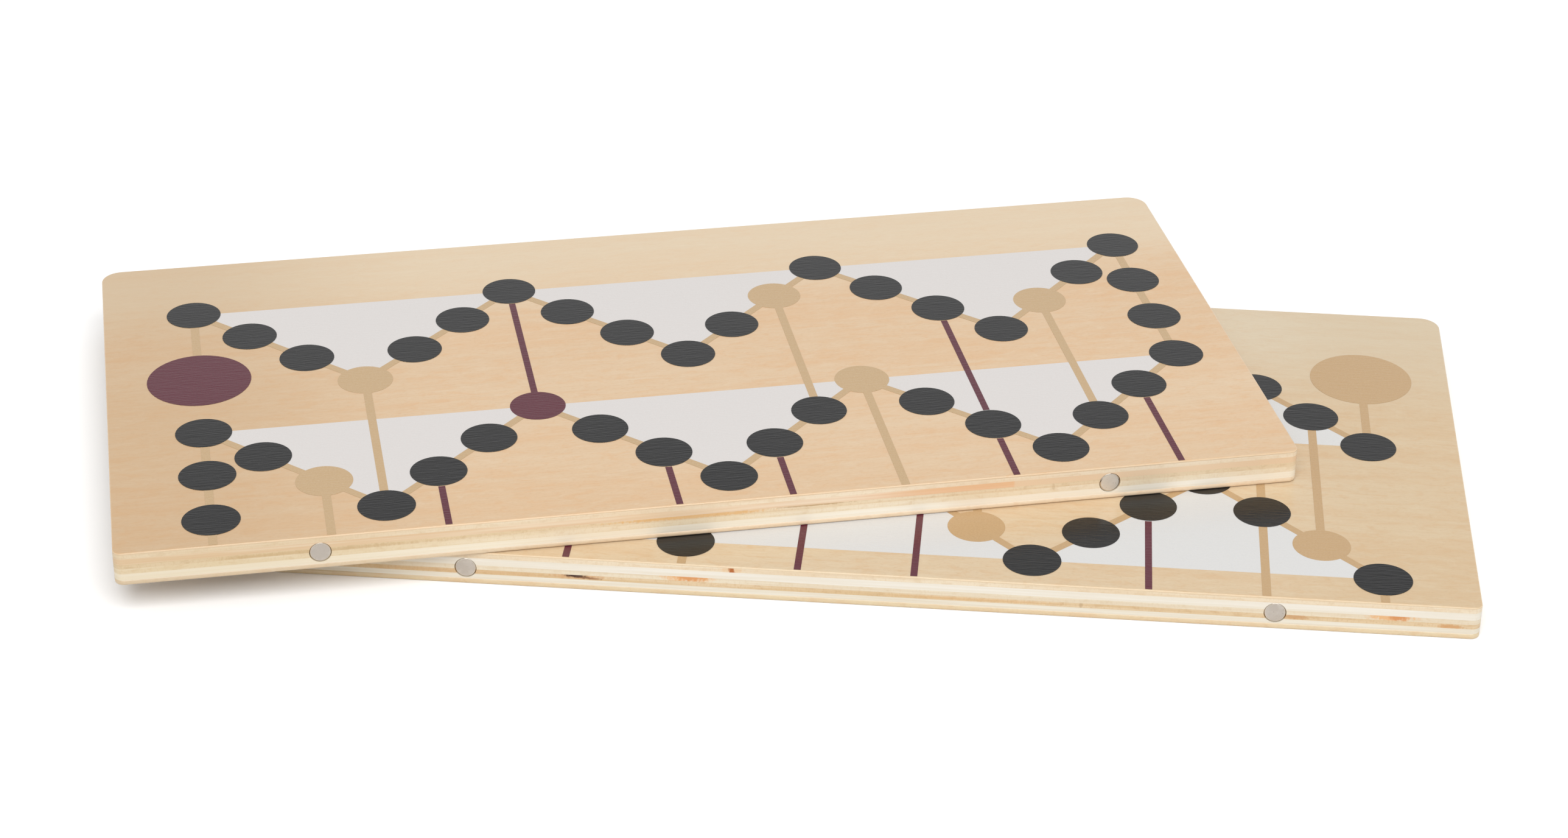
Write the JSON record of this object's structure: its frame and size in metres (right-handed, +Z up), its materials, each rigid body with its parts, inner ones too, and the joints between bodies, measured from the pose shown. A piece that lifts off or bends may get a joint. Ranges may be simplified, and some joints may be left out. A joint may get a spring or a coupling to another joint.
{
  "type": "magnetic two-part game board",
  "caption": "Square plywood game board in two halves with edge magnets and a printed zigzag track, one half lying askew on the other.",
  "frame": {"origin": "middle of the lower half's underside, the face the board rests on", "axes": "+Z up, out of the printed faces; +X along the lower half's long side, +Y away from its seam edge with the magnets"},
  "size_m": [0.408, 0.2456, 0.0202],
  "materials": {
    "face_veneer": "clear satin lacquer over pale basswood veneer",
    "back_veneer": "bare sanded plywood back",
    "crossband_veneer": "sanded ply edge, end grain",
    "longband_veneer": "sanded ply edge, long grain",
    "nickel_plated_magnet": "nickel plate",
    "black_ink": "satin printing ink",
    "purple_ink": "satin printing ink",
    "tan_ink": "satin printing ink",
    "white_ink": "satin printing ink"
  },
  "bodies": {
    "lower_half": {"lower_face_veneer": "face_veneer", "lower_crossband_upper": "crossband_veneer", "lower_longband_upper": "longband_veneer", "lower_core": "crossband_veneer", "lower_crossband_lower": "crossband_veneer", "lower_longband_lower": "longband_veneer", "lower_back_veneer": "back_veneer", "lower_magnet_left": "nickel_plated_magnet", "lower_magnet_right": "nickel_plated_magnet", "lower_print_black": "black_ink", "lower_print_purple": "purple_ink", "lower_print_tan": "tan_ink", "lower_print_white": "white_ink"},
    "upper_half": {"upper_face_veneer": "face_veneer", "upper_crossband_upper": "crossband_veneer", "upper_longband_upper": "longband_veneer", "upper_core": "crossband_veneer", "upper_crossband_lower": "crossband_veneer", "upper_longband_lower": "longband_veneer", "upper_back_veneer": "back_veneer", "upper_magnet_left": "nickel_plated_magnet", "upper_magnet_right": "nickel_plated_magnet", "upper_print_black": "black_ink", "upper_print_purple": "purple_ink", "upper_print_tan": "tan_ink", "upper_print_white": "white_ink"}
  },
  "joints": [
    {"name": "upper_half_lift", "type": "slide", "parent": "lower_half", "child": "upper_half", "axis": [0, 0, 1], "range_m": [0, 0.15]}
  ]
}
